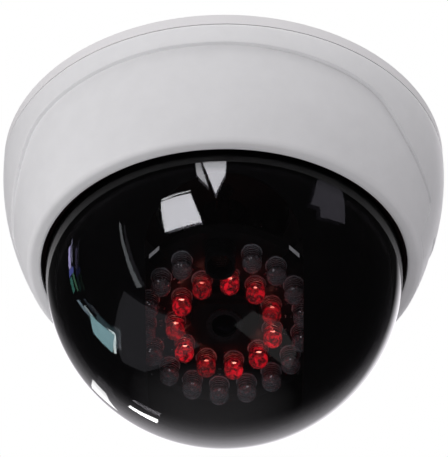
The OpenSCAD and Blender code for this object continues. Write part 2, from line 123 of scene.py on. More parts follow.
class Mesh:
    """Collects many closed forms into one mesh, in millimetres."""

    def __init__(self):
        self.v, self.f, self.m = [], [], []

    def add(self, verts, faces, mat=0, M=None):
        b = len(self.v)
        if M is not None:
            verts = [tuple(M @ Vector(p)) for p in verts]
        self.v += [tuple(p) for p in verts]
        self.f += [tuple(i + b for i in f) for f in faces]
        self.m += [mat] * len(faces)

    def lathe(self, profile, seg=48, mat=0, M=None, closed=False, scallop=None):
        """profile: (r, z) points; r = 0 ends are closed to a point."""
        verts, rows = [], []
        for r, z in profile:
            if r < 1e-6:
                rows.append([len(verts)])
                verts.append((0, 0, z))
            else:
                rows.append(list(range(len(verts), len(verts) + seg)))
                for k in range(seg):
                    a = 2 * math.pi * k / seg
                    rr = r if scallop is None else scallop(r, a)
                    verts.append((rr * math.cos(a), rr * math.sin(a), z))
        faces = []
        pairs = list(zip(rows, rows[1:]))
        if closed:
            pairs.append((rows[-1], rows[0]))
        for a, b in pairs:
            for k in range(seg):
                k2 = (k + 1) % seg
                if len(a) == 1 and len(b) == 1:
                    continue
                if len(a) == 1:
                    faces.append((a[0], b[k2], b[k]))
                elif len(b) == 1:
                    faces.append((a[k], a[k2], b[0]))
                else:
                    faces.append((a[k], a[k2], b[k2], b[k]))
        self.add(verts, faces, mat, M)

    def tube(self, pts, r, seg=12, mat=0, M=None):
        """Round tube along points, closed at both ends."""
        P = [Vector(p) for p in pts]
        rr = r if isinstance(r, (list, tuple)) else [r] * len(P)
        u = None
        verts, faces = [], []
        for i, p in enumerate(P):
            d = (P[min(i + 1, len(P) - 1)] - P[max(i - 1, 0)]).normalized()
            if u is None:
                u = d.orthogonal().normalized()
            else:
                u = (u - d * u.dot(d)).normalized()
            w = d.cross(u)
            for k in range(seg):
                a = 2 * math.pi * k / seg
                verts.append(tuple(p + rr[i] * (math.cos(a) * u + math.sin(a) * w)))
        n = len(P)
        for i in range(n - 1):
            for k in range(seg):
                k2 = (k + 1) % seg
                faces.append((i * seg + k, i * seg + k2, (i + 1) * seg + k2, (i + 1) * seg + k))
        faces.append(tuple(range(seg - 1, -1, -1)))
        faces.append(tuple((n - 1) * seg + k for k in range(seg)))
        self.add(verts, faces, mat, M)

    def block(self, lo, hi, edge=0.12, mat=0, M=None):
        """Box with chamfered edges."""
        x0, y0, z0 = lo
        x1, y1, z1 = hi
        e = min(edge, (x1 - x0) / 2.2, (y1 - y0) / 2.2, (z1 - z0) / 2.2)
        bm = bmesh.new()
        bmesh.ops.create_cube(bm, size=1)
        for v in bm.verts:
            v.co = Vector(((x0 + x1) / 2 + v.co.x * (x1 - x0), (y0 + y1) / 2 + v.co.y * (y1 - y0), (z0 + z1) / 2 + v.co.z * (z1 - z0)))
        bmesh.ops.bevel(bm, geom=list(bm.edges), offset=e, segments=2, affect="EDGES", profile=0.5)
        bm.verts.ensure_lookup_table()
        self.add([tuple(v.co) for v in bm.verts], [[v.index for v in f.verts] for f in bm.faces], mat, M)
        bm.free()

    def make(self, name, mats, smooth_angle=35.0):
        o = new_object(name, self.v, self.f, smooth_angle)
        for m in mats:
            o.data.materials.append(m)
        if len(mats) > 1:
            o.data.polygons.foreach_set("material_index", self.m)
        return o


MODULE = Matrix.Translation((0, 0, ZC)) @ Matrix.Rotation(-TILT, 4, "X")
MODULE_M = Matrix.Translation((0, 0, ZC * MM)) @ Matrix.Rotation(-TILT, 4, "X")


def at(x, y, z, base=MODULE):
    return base @ Matrix.Translation((x, y, z))


# ------------------------------------------------------------------ material helpers
def nt(mat):
    mat.use_nodes = True
    t = mat.node_tree
    t.nodes.clear()
    return t


def link(t, a, b):
    t.links.new(a, b)


def node(t, kind, **kw):
    n = t.nodes.new(kind)
    for k, v in kw.items():
        if k in n.inputs:
            n.inputs[k].default_value = v
        else:
            setattr(n, k, v)
    return n


def noise(t, vec, scale, detail=3.0, rough=0.55, distort=0.0):
    n = node(t, "ShaderNodeTexNoise", Scale=scale, Detail=detail, Roughness=rough, Distortion=distort)
    link(t, vec, n.inputs["Vector"])
    return n.outputs["Fac"]


def remap(t, val, a, b, lo=0.3, hi=0.7):
    m = node(t, "ShaderNodeMapRange")
    m.inputs["From Min"].default_value = lo
    m.inputs["From Max"].default_value = hi
    m.inputs["To Min"].default_value = a
    m.inputs["To Max"].default_value = b
    link(t, val, m.inputs["Value"])
    return m.outputs["Result"]


def math_node(t, op, a, b=None, clamp=False):
    m = node(t, "ShaderNodeMath", operation=op)
    m.use_clamp = clamp
    for i, x in enumerate((a, b)):
        if x is None:
            continue
        if isinstance(x, (int, float)):
            m.inputs[i].default_value = x
        else:
            link(t, x, m.inputs[i])
    return m.outputs[0]


def mixcol(t, fac, a, b, blend="MIX"):
    m = t.nodes.new("ShaderNodeMix")
    m.data_type = "RGBA"
    m.blend_type = blend
    for sock, x in ((m.inputs[0], fac), (m.inputs[6], a), (m.inputs[7], b)):
        if isinstance(x, (int, float)):
            sock.default_value = x
        elif isinstance(x, (tuple, list)):
            sock.default_value = (*x[:3], 1.0)
        else:
            link(t, x, sock)
    return m.outputs[2]


def objvec(t, scale=(1, 1, 1)):
    c = t.nodes.new("ShaderNodeTexCoord")
    if scale == (1, 1, 1):
        return c.outputs["Object"]
    m = t.nodes.new("ShaderNodeMapping")
    m.inputs["Scale"].default_value = scale
    link(t, c.outputs["Object"], m.inputs["Vector"])
    return m.outputs["Vector"]


def worn(t, base, amount, colour):
    """Mix a colour in along exposed edges."""
    g = t.nodes.new("ShaderNodeNewGeometry")
    f = remap(t, g.outputs["Pointiness"], 0.0, amount, 0.51, 0.56)
    return mixcol(t, f, base, colour)


def surface(name, colour, rough=0.5, metal=0.0, vary=0.06, mottle=260.0, grain=3200.0, grain_mm=0.02, rough_vary=0.08,
            coat=0.0, coat_rough=0.1, ior=1.5, spec=0.5, dust=0.0, dust_col=(0.45, 0.44, 0.42), edge=0.0,
            edge_col=(0.8, 0.8, 0.8), stretch=None, sheen=0.0, emit=None, emit_strength=0.0, tone=None):
    m = bpy.data.materials.new(name)
    t = nt(m)
    out = t.nodes.new("ShaderNodeOutputMaterial")
    p = t.nodes.new("ShaderNodeBsdfPrincipled")
    link(t, p.outputs[0], out.inputs[0])
    v = objvec(t)
    vs = objvec(t, stretch) if stretch else v
    big = noise(t, v, mottle, 4.0)
    fine = noise(t, vs, grain, 2.0, 0.6)
    mid = noise(t, vs, grain / 6.0, 3.0, 0.6)
    dark = tuple(c * (1 - vary) for c in colour)
    light = tuple(min(1.0, c * (1 + vary)) for c in (tone or colour))
    col = mixcol(t, remap(t, big, 0.0, 1.0), dark, light)
    if dust > 0:
        geo = t.nodes.new("ShaderNodeNewGeometry")
        sep = t.nodes.new("ShaderNodeSeparateXYZ")
        link(t, geo.outputs["Normal"], sep.inputs[0])
        up = remap(t, sep.outputs["Z"], 0.1, 1.0, -0.2, 1.0)
        d = math_node(t, "MULTIPLY", remap(t, mid, 0.0, dust, 0.35, 0.75), up)
        col = mixcol(t, d, col, dust_col)
    if edge > 0:
        col = worn(t, col, edge, edge_col)
    link(t, col, p.inputs["Base Color"])
    p.inputs["Metallic"].default_value = metal
    p.inputs["IOR"].default_value = ior
    p.inputs["Specular IOR Level"].default_value = spec
    r = math_node(t, "ADD", remap(t, mid, rough - rough_vary, rough + rough_vary), remap(t, big, -rough_vary / 2, rough_vary / 2), True)
    link(t, r, p.inputs["Roughness"])
    p.inputs["Coat Weight"].default_value = coat
    p.inputs["Coat Roughness"].default_value = coat_rough
    p.inputs["Sheen Weight"].default_value = sheen
    if emit is not None:
        p.inputs["Emission Color"].default_value = (*emit, 1)
        p.inputs["Emission Strength"].default_value = emit_strength
    bump = node(t, "ShaderNodeBump", Strength=1.0)
    bump.inputs["Distance"].default_value = grain_mm * MM
    h = math_node(t, "ADD", fine, math_node(t, "MULTIPLY", mid, 0.6))
    link(t, h, bump.inputs["Height"])
    link(t, bump.outputs[0], p.inputs["Normal"])
    return m


def schlick(t, f0=0.04, power=5.0, normal=None):
    lw = node(t, "ShaderNodeLayerWeight", Blend=0.5)
    if normal is not None:
        link(t, normal, lw.inputs["Normal"])
    x = math_node(t, "POWER", lw.outputs["Facing"], power)
    return math_node(t, "ADD", math_node(t, "MULTIPLY", x, 1.0 - f0), f0, True)


def clear(name, tint, f0=0.04, rough=0.02, body=None, body_fac=0.0, glow=None, glow_strength=0.0, glow_fac=0.0,
          wave=0.0, wave_scale=30.0, smudge=0.0, gloss=(1, 1, 1), scratch=0.0, edge_dark=0.0, skirt=None):
    """See-through plastic: a tinted clear wall, an optional cloudy body, and a gloss that grows at grazing angles."""
    m = bpy.data.materials.new(name)
    t = nt(m)
    out = t.nodes.new("ShaderNodeOutputMaterial")
    v = objvec(t)
    big = noise(t, v, 60.0, 4.0, 0.6)
    mid = noise(t, v, 900.0, 3.0, 0.6)
    normal = None
    if wave > 0:
        b = node(t, "ShaderNodeBump", Strength=1.0)
        b.inputs["Distance"].default_value = wave * MM
        link(t, noise(t, v, wave_scale, 2.0, 0.5), b.inputs["Height"])
        normal = b.outputs[0]
    tr = t.nodes.new("ShaderNodeBsdfTransparent")
    lo = tuple(c * 0.94 for c in tint)
    shade_col = mixcol(t, remap(t, big, 0.0, 1.0), lo, tint)
    if edge_dark > 0:
        lwe = node(t, "ShaderNodeLayerWeight", Blend=0.5)
        k = remap(t, lwe.outputs["Facing"], 0.0, edge_dark, 0.36, 0.66)
        shade_col = mixcol(t, k, shade_col, tuple(c * 0.3 for c in tint))
    link(t, shade_col, tr.inputs["Color"])
    inner = tr.outputs[0]
    if body is not None:
        d = t.nodes.new("ShaderNodeBsdfDiffuse")
        link(t, mixcol(t, remap(t, mid, 0.0, 1.0), tuple(c * 0.8 for c in body), body), d.inputs["Color"])
        tl = t.nodes.new("ShaderNodeBsdfTranslucent")
        tl.inputs["Color"].default_value = (*body, 1)
        both = node(t, "ShaderNodeMixShader", Fac=0.5)
        link(t, d.outputs[0], both.inputs[1])
        link(t, tl.outputs[0], both.inputs[2])
        mx = node(t, "ShaderNodeMixShader", Fac=body_fac)
        link(t, inner, mx.inputs[1])
        link(t, both.outputs[0], mx.inputs[2])
        inner = mx.outputs[0]
    if glow is not None:
        e = t.nodes.new("ShaderNodeEmission")
        g = noise(t, v, 1100.0, 3.0, 0.65, 0.6)
        link(t, mixcol(t, remap(t, g, 0.0, 1.0, 0.38, 0.66), tuple(c * 0.25 for c in glow), glow), e.inputs["Color"])
        e.inputs["Strength"].default_value = glow_strength
        mx = node(t, "ShaderNodeMixShader", Fac=glow_fac)
        link(t, inner, mx.inputs[1])
        link(t, e.outputs[0], mx.inputs[2])
        inner = mx.outputs[0]
    gl = t.nodes.new("ShaderNodeBsdfGlossy")
    gl.inputs["Color"].default_value = (*gloss, 1)
    r = remap(t, mid, max(rough - 0.015, 0.0), rough + 0.02 + smudge * 0.05)
    if smudge > 0:
        s = remap(t, noise(t, v, 120.0, 5.0, 0.7, 0.8), 0.0, smudge * 0.16, 0.52, 0.72)
        r = math_node(t, "ADD", r, s)
    link(t, r, gl.inputs["Roughness"])
    if normal is not None:
        link(t, normal, gl.inputs["Normal"])
    mix = t.nodes.new("ShaderNodeMixShader")
    fr = schlick(t, f0, 5.0, normal)
    if skirt is not None:
        # painted shade: the gloss is weakened in the band close under the housing's lip, darkening the dome's
        # reflection there
        sep = t.nodes.new("ShaderNodeSeparateXYZ")
        link(t, v, sep.inputs[0])
        fr = math_node(t, "MULTIPLY", fr, remap(t, sep.outputs["Z"], 1.0, 0.35, (skirt - 5.0) * MM, skirt * MM))
    link(t, fr, mix.inputs[0])
    link(t, inner, mix.inputs[1])
    link(t, gl.outputs[0], mix.inputs[2])
    last = mix.outputs[0]
    if smudge > 0 or scratch > 0:
        # a little dust and hairline wear that scatters light off the face
        dd = t.nodes.new("ShaderNodeBsdfDiffuse")
        dd.inputs["Color"].default_value = (0.7, 0.7, 0.72, 1)
        haze = remap(t, noise(t, v, 220.0, 6.0, 0.7, 0.4), 0.0, smudge * 0.008, 0.5, 0.8)
        sv = objvec(t, (40.0, 900.0, 160.0))
        sc = remap(t, noise(t, sv, 9.0, 2.0, 0.4), 0.0, scratch * 0.03, 0.68, 0.78)
        f = math_node(t, "ADD", haze, sc, True)
        mx = t.nodes.new("ShaderNodeMixShader")
        link(t, f, mx.inputs[0])
        link(t, last, mx.inputs[1])
        link(t, dd.outputs[0], mx.inputs[2])
        last = mx.outputs[0]
    link(t, last, out.inputs[0])
    return m


# ------------------------------------------------------------------ materials
M = {}
M["housing"] = surface("housing_abs", (0.80, 0.80, 0.805), rough=0.42, vary=0.018, mottle=210, grain=2200, grain_mm=0.018,
                       rough_vary=0.05, coat=0.06, coat_rough=0.25, ior=1.52, dust=0.05, dust_col=(0.62, 0.61, 0.59))
M["base"] = surface("base_abs", (0.80, 0.79, 0.795), rough=0.45, vary=0.015, mottle=80, grain=2600, grain_mm=0.012,
                    rough_vary=0.05, ior=1.52, dust=0.06, dust_col=(0.6, 0.59, 0.57))
# painted shade: the hub's bore and end get a near-black colour in the base's material, standing in for the shade
# inside the hub, so no pale disc shows through the slot
t = M["base"].node_tree
bs = next(n for n in t.nodes if n.type == "BSDF_PRINCIPLED")
src = bs.inputs["Base Color"].links[0].from_socket
sep = t.nodes.new("ShaderNodeSeparateXYZ")
link(t, objvec(t), sep.inputs[0])
r2 = math_node(t, "ADD", math_node(t, "POWER", math_node(t, "ABSOLUTE", sep.outputs["X"]), 2.0),
               math_node(t, "POWER", math_node(t, "ABSOLUTE", sep.outputs["Y"]), 2.0))
near_axis = remap(t, math_node(t, "SQRT", r2, 0.0), 1.0, 0.0, 6.9 * MM, 7.1 * MM)
low = remap(t, sep.outputs["Z"], 1.0, 0.0, -2.2 * MM, -1.6 * MM)
link(t, mixcol(t, math_node(t, "MULTIPLY", near_axis, low), src, (0.012, 0.011, 0.011)), bs.inputs["Base Color"])
M["grommet"] = surface("grommet_rubber", (0.018, 0.018, 0.019), rough=0.75, vary=0.15, grain=2600, grain_mm=0.03, dust=0.15)
M["gasket"] = surface("gasket_foam", (0.03, 0.03, 0.03), rough=0.95, vary=0.3, mottle=1500, grain=3500, grain_mm=0.12)
M["black"] = surface("black_moulding", (0.007, 0.007, 0.0075), rough=0.55, vary=0.12, grain=3000, grain_mm=0.015, dust=0.04)
M["cradle"] = surface("cradle_moulding", (0.012, 0.012, 0.0125), rough=0.48, vary=0.12, grain=3000, grain_mm=0.012, dust=0.03)
M["turntable"] = surface("turntable_plastic", (0.60, 0.585, 0.57), rough=0.5, vary=0.03, grain=2400, grain_mm=0.015, dust=0.05)
M["screw"] = surface("screw_zinc", (0.62, 0.62, 0.63), rough=0.32, metal=1.0, vary=0.08, mottle=900, grain=5000, grain_mm=0.006,
                     rough_vary=0.1, edge=0.3)
M["yoke"] = surface("yoke_coating", (0.03, 0.03, 0.032), rough=0.4, metal=0.0, vary=0.15, mottle=600, grain=4200, grain_mm=0.02,
                    edge=0.5, edge_col=(0.35, 0.35, 0.36), coat=0.2)
M["retainer"] = surface("retainer_steel", (0.05, 0.045, 0.045), rough=0.42, metal=0.5, vary=0.06, grain=2200, grain_mm=0.006,
                        stretch=(1.0, 12.0, 1.0))
M["board"] = surface("board_green", (0.012, 0.085, 0.035), rough=0.3, vary=0.25, mottle=420, grain=1800, grain_mm=0.01, coat=0.5, coat_rough=0.08)
M["board_black"] = surface("board_black", (0.010, 0.011, 0.0105), rough=0.35, vary=0.25, mottle=420, grain=1800, grain_mm=0.01, coat=0.25, coat_rough=0.15)
M["terminal"] = surface("terminal_plastic", (0.02, 0.2, 0.09), rough=0.4, vary=0.05, grain=2600, grain_mm=0.01)
M["can"] = surface("can_sleeve", (0.03, 0.035, 0.09), rough=0.3, vary=0.1, grain=2600, grain_mm=0.008, coat=0.3)
M["ferrite"] = surface("ferrite_body", (0.04, 0.04, 0.042), rough=0.6, vary=0.2, grain=3600, grain_mm=0.03)
M["nylon"] = surface("connector_nylon", (0.68, 0.65, 0.55), rough=0.42, vary=0.04, grain=2400, grain_mm=0.008, sheen=0.1)
M["lead"] = surface("lead_sheath", (0.014, 0.014, 0.015), rough=0.5, vary=0.15, grain=2200, grain_mm=0.02)
M["knob"] = surface("knob_plastic", (0.02, 0.02, 0.021), rough=0.45, vary=0.1, grain=2800, grain_mm=0.012, edge=0.3, edge_col=(0.12, 0.12, 0.12))
M["hood"] = surface("hood_moulding", (0.010, 0.010, 0.0105), rough=0.33, vary=0.12, grain=2600, grain_mm=0.008)
# painted shade: the photocell face is darkened to near-black, standing in for the shade deep in its hood
M["cell"] = surface("photocell_face", (0.06, 0.024, 0.014), rough=0.35, vary=0.15, mottle=900, grain=3000, grain_mm=0.01, coat=0.4)
M["lens_body"] = surface("lens_mount_black", (0.011, 0.011, 0.0115), rough=0.38, vary=0.15, grain=3000, grain_mm=0.01)
M["barrel"] = surface("barrel_black", (0.010, 0.010, 0.011), rough=0.3, vary=0.1, grain=2600, grain_mm=0.008, edge=0.2, edge_col=(0.1, 0.1, 0.1))
M["chip"] = surface("chip_moulding", (0.018, 0.018, 0.019), rough=0.5, vary=0.15, grain=3800, grain_mm=0.02)
M["brass"] = surface("standoff_brass", (0.75, 0.55, 0.25), rough=0.28, metal=1.0, vary=0.06, grain=2600, grain_mm=0.006, stretch=(8.0, 8.0, 1.0))
M["tin"] = surface("tinned_wire", (0.75, 0.74, 0.72), rough=0.25, metal=1.0, vary=0.08, mottle=1500, grain=4000, grain_mm=0.004)
M["sensor"] = surface("sensor_cover", (0.03, 0.05, 0.08), rough=0.08, vary=0.2, mottle=1200, grain=2000, grain_mm=0.001, coat=1.0, coat_rough=0.03)
# dark smoked flange edge; its red-brown tint is painted red lamp light on it
M["flange"] = surface("dome_flange_edge", (0.020, 0.0085, 0.010), rough=0.35, vary=0.2, mottle=140, grain=1800, grain_mm=0.01)

M["dome"] = clear("smoked_dome", (0.43, 0.42, 0.44), f0=0.045, rough=0.008, wave=0.02, wave_scale=60.0, smudge=0.35, scratch=0.35,
                  edge_dark=1.0, skirt=-37.0)
M["dome_in"] = clear("smoked_dome_inside", (0.99, 0.985, 0.99), f0=0.03, rough=0.012, wave=0.02, wave_scale=60.0)


def epoxy(name, tint, body, lit):
    """Lamp epoxy: clear wall, ring lines along the body as painted reflections of the flange, a cloudy tip with a
    painted pale rim highlight; a lit lamp glows in patches.
    """
    m = bpy.data.materials.new(name)
    t = nt(m)
    out = t.nodes.new("ShaderNodeOutputMaterial")
    v = objvec(t)
    att = t.nodes.new("ShaderNodeAttribute")
    att.attribute_name = "depth"
    depth = att.outputs["Fac"]
    lw = node(t, "ShaderNodeLayerWeight", Blend=0.5)
    facing = lw.outputs["Facing"]
    patch = noise(t, v, 620.0, 2.0, 0.6, 0.5)
    own = noise(t, v, 95.0, 1.0, 0.5)
    streak = noise(t, objvec(t, (1.0, 1.0, 0.25)), 1500.0, 2.0, 0.6)
    wob = math_node(t, "ADD", depth, remap(t, patch, -0.14, 0.14))
    fac = remap(t, depth, 0.19, 0.05, 0.95, 1.15)
    # painted reflections: cloudy bands at set depths stand in for the flange's arcs seen through the lens
    for c, w, k in ((1.0, 0.27, 1.0), (1.8, 0.25, 0.9), (2.6, 0.25, 1.0), (3.6, 0.22, 0.8), (4.7, 0.2, 0.6)):
        d = math_node(t, "ABSOLUTE", math_node(t, "SUBTRACT", wob, c))
        fac = math_node(t, "MAXIMUM", fac, remap(t, d, k, 0.0, w * 0.35, w))
    fac = math_node(t, "MAXIMUM", fac, remap(t, depth, 0.0, 0.27, 5.6, 6.3))
    # painted highlight: the body turns pale at grazing angles, drawing a bright outline round the tip
    rim = remap(t, facing, 0.0, 0.95, 0.80, 0.97)
    fac = math_node(t, "MAXIMUM", fac, rim)
    fac = math_node(t, "MULTIPLY", fac, remap(t, streak, 0.78, 1.15, 0.35, 0.65), True)
    tr = t.nodes.new("ShaderNodeBsdfTransparent")
    tr.inputs["Color"].default_value = (*tint, 1)
    d = t.nodes.new("ShaderNodeBsdfDiffuse")
    d.inputs["Color"].default_value = (*body, 1)
    tl = t.nodes.new("ShaderNodeBsdfTranslucent")
    tl.inputs["Color"].default_value = (*body, 1)
    both = node(t, "ShaderNodeMixShader", Fac=0.4)
    link(t, d.outputs[0], both.inputs[1])
    link(t, tl.outputs[0], both.inputs[2])
    mx = t.nodes.new("ShaderNodeMixShader")
    link(t, fac, mx.inputs[0])
    link(t, tr.outputs[0], mx.inputs[1])
    link(t, both.outputs[0], mx.inputs[2])
    inner = mx.outputs[0]
    if lit:
        e = t.nodes.new("ShaderNodeEmission")
        hot = remap(t, patch, 0.0, 1.0, 0.44, 0.62)
        col = mixcol(t, hot, (0.045, 0.0, 0.003), (1.0, 0.010, 0.026))
        link(t, col, e.inputs["Color"])
        link(t, math_node(t, "MULTIPLY", remap(t, own, 0.75, 1.9, 0.35, 0.65), remap(t, facing, 1.0, 0.35, 0.35, 0.9)), e.inputs["Strength"])
        gf = math_node(t, "MULTIPLY", remap(t, depth, 0.0, 1.0, 2.3, 4.6), remap(t, hot, 0.62, 0.92, 0.0, 1.0), True)
        mx = t.nodes.new("ShaderNodeMixShader")
        link(t, math_node(t, "MULTIPLY", gf, remap(t, facing, 1.0, 0.3, 0.8, 0.98)), mx.inputs[0])
        link(t, inner, mx.inputs[1])
        link(t, e.outputs[0], mx.inputs[2])
        inner = mx.outputs[0]
    gl = t.nodes.new("ShaderNodeBsdfGlossy")
    gl.inputs["Color"].default_value = (1, 1, 1, 1)
    link(t, remap(t, streak, 0.02, 0.06), gl.inputs["Roughness"])
    mix = t.nodes.new("ShaderNodeMixShader")
    link(t, schlick(t, 0.07), mix.inputs[0])
    link(t, inner, mix.inputs[1])
    link(t, gl.outputs[0], mix.inputs[2])
    link(t, mix.outputs[0], out.inputs[0])
    return m


# grey cloudy body with a painted cyan cast that offsets the red lamp light falling on the unlit lamps
M["epoxy"] = epoxy("lamp_epoxy", (0.86, 0.86, 0.87), (0.74, 0.83, 0.85), False)
M["epoxy_red"] = epoxy("lamp_epoxy_lit", (0.86, 0.40, 0.40), (0.80, 0.62, 0.64), True)
M["lens_glass"] = clear("coated_glass", (0.62, 0.52, 0.66), f0=0.06, rough=0.01, gloss=(0.75, 0.6, 0.95))


def emitter(name, colour, strength, vary=0.5, scale=1600.0):
    m = bpy.data.materials.new(name)
    t = nt(m)
    out = t.nodes.new("ShaderNodeOutputMaterial")
    e = t.nodes.new("ShaderNodeEmission")
    v = objvec(t)
    f = remap(t, noise(t, v, scale, 3.0, 0.6, 0.5), 0.0, 1.0, 0.35, 0.7)
    link(t, mixcol(t, f, tuple(c * (1 - vary) for c in colour), colour), e.inputs["Color"])
    e.inputs["Strength"].default_value = strength
    link(t, e.outputs[0], out.inputs[0])
    return m


M["die"] = emitter("lamp_die_lit", (1.0, 0.62, 0.45), 30.0, 0.15)
# painted highlights: glowing materials for the glint beads inside the lamps
M["spark"] = emitter("lamp_glint", (1.0, 0.97, 1.0), 0.9, 0.3)
M["spark_red"] = emitter("lamp_glint_lit", (1.0, 0.45, 0.5), 2.2, 0.3)
# painted glint: a faintly glowing strip stands in for light caught on each clip's outer edge
M["clip"] = emitter("clip_edge_painted_glint", (0.95, 0.97, 1.0), 0.36, 0.35)
M["clip_dark"] = surface("clip_phosphate", (0.03, 0.03, 0.032), rough=0.4, metal=0.8, vary=0.2, mottle=900, grain=3600, grain_mm=0.01)
# painted light: the reflector cup in a lit lamp glows red, standing in for the die's light thrown on it
M["cup_lit"] = emitter("lamp_cup_lit", (1.0, 0.05, 0.04), 1.6, 0.7, 1300.0)

CAD_MAT = {
    "base_plate": "base", "cable_grommet": "grommet", "power_board": "board", "power_board_screws": "screw",
    "terminal_block": "terminal", "terminal_screws": "screw", "capacitors": "can", "power_inductor": "ferrite",
    "lead_header": "nylon", "supply_lead": "lead", "pan_retainer_ring": "retainer", "pan_retainer_screws": "screw",
    "cover_shell": "housing", "dome": "dome", "dome_gasket": "gasket", "dome_clamp_ring": "black",
    "clamp_ring_screws": "screw", "turntable": "turntable", "yoke": "yoke", "yoke_screws": "screw", "shroud": "black",
    "shroud_screws": "screw", "pivot_pin": "screw", "camera_lead": "lead", "tilt_lock_washer": "screw",
    "tilt_lock_screw": "knob", "cradle": "cradle", "board_clips": "clip", "led_board": "board_black", "outer_leds": "epoxy",
    "inner_leds": "epoxy_red", "sensor_hood": "hood", "photocell": "cell", "lens_holder": "lens_body", "sensor_board": "board",
    "image_sensor": "sensor", "video_chip": "chip", "standoffs": "brass", "sensor_board_screws": "screw",
    "lead_socket": "nylon", "lead_plug": "nylon", "lens_barrel": "barrel", "lens_lock_ring": "barrel",
    "front_lens": "lens_glass", "rear_lens": "lens_glass",
}
for name, key in CAD_MAT.items():
    if name not in N:
        continue
    o = N[name]
    o.data.materials.clear()
    o.data.materials.append(M[key])

# ------------------------------------------------------------------ cover shell
LINE = [(0.0, -STEP_DROP)] + [(x, -STEP_DROP - d) for x, d in (
    (10, 0), (17, 0.15), (24, 0.45), (30, 0.8), (36, 1.3), (40, 1.8), (43.7, 2.6), (46.4, 3.8), (48.8, 6.1), (51, 8.7),
    (53, 10.9), (54.6, 12.7), (56, 14.4), (56.15, 15.2))]
TAIL = [(-24.9, 56.15), (-26.0, 55.9), (-28.5, 55.0), (-31.0, 53.9), (-33.5, 52.7), (-35.0, 52.0)]


def line_z(x):
    """Height of the relief's edge at distance x from the panel's middle."""
    for (x0, z0), (x1, z1) in zip(LINE, LINE[1:]):
        if x0 <= x <= x1:
            return z0 + (z1 - z0) * (x - x0) / max(x1 - x0, 1e-9)
    return LINE[-1][1]


def side_x(z):
    """Half width of a panel at height z, on its falling side."""
    side = [(z0, x0) for x0, z0 in LINE] + TAIL[1:]
    for (za, xa), (zb, xb) in zip(side, side[1:]):
        if zb <= z <= za:
            return xa + (xb - xa) * (za - z) / max(za - zb, 1e-9)
    return side[-1][1]


def edge_z(theta):
    """Height where the relief's edge crosses the housing at angle theta; the panels are turned."""
    s = abs(math.cos(theta - math.radians(PANEL_TURN)))
    if s * 60 < 10:
        return -STEP_DROP
    z = -STEP_DROP
    while z > -34.2 and wall_r(z) * s > side_x(z):
        z -= 0.02
    return z


def relief(z):
    return STEP_DEPTH * smooth01((z - (LIP_Z + 2.5)) / 20.0)


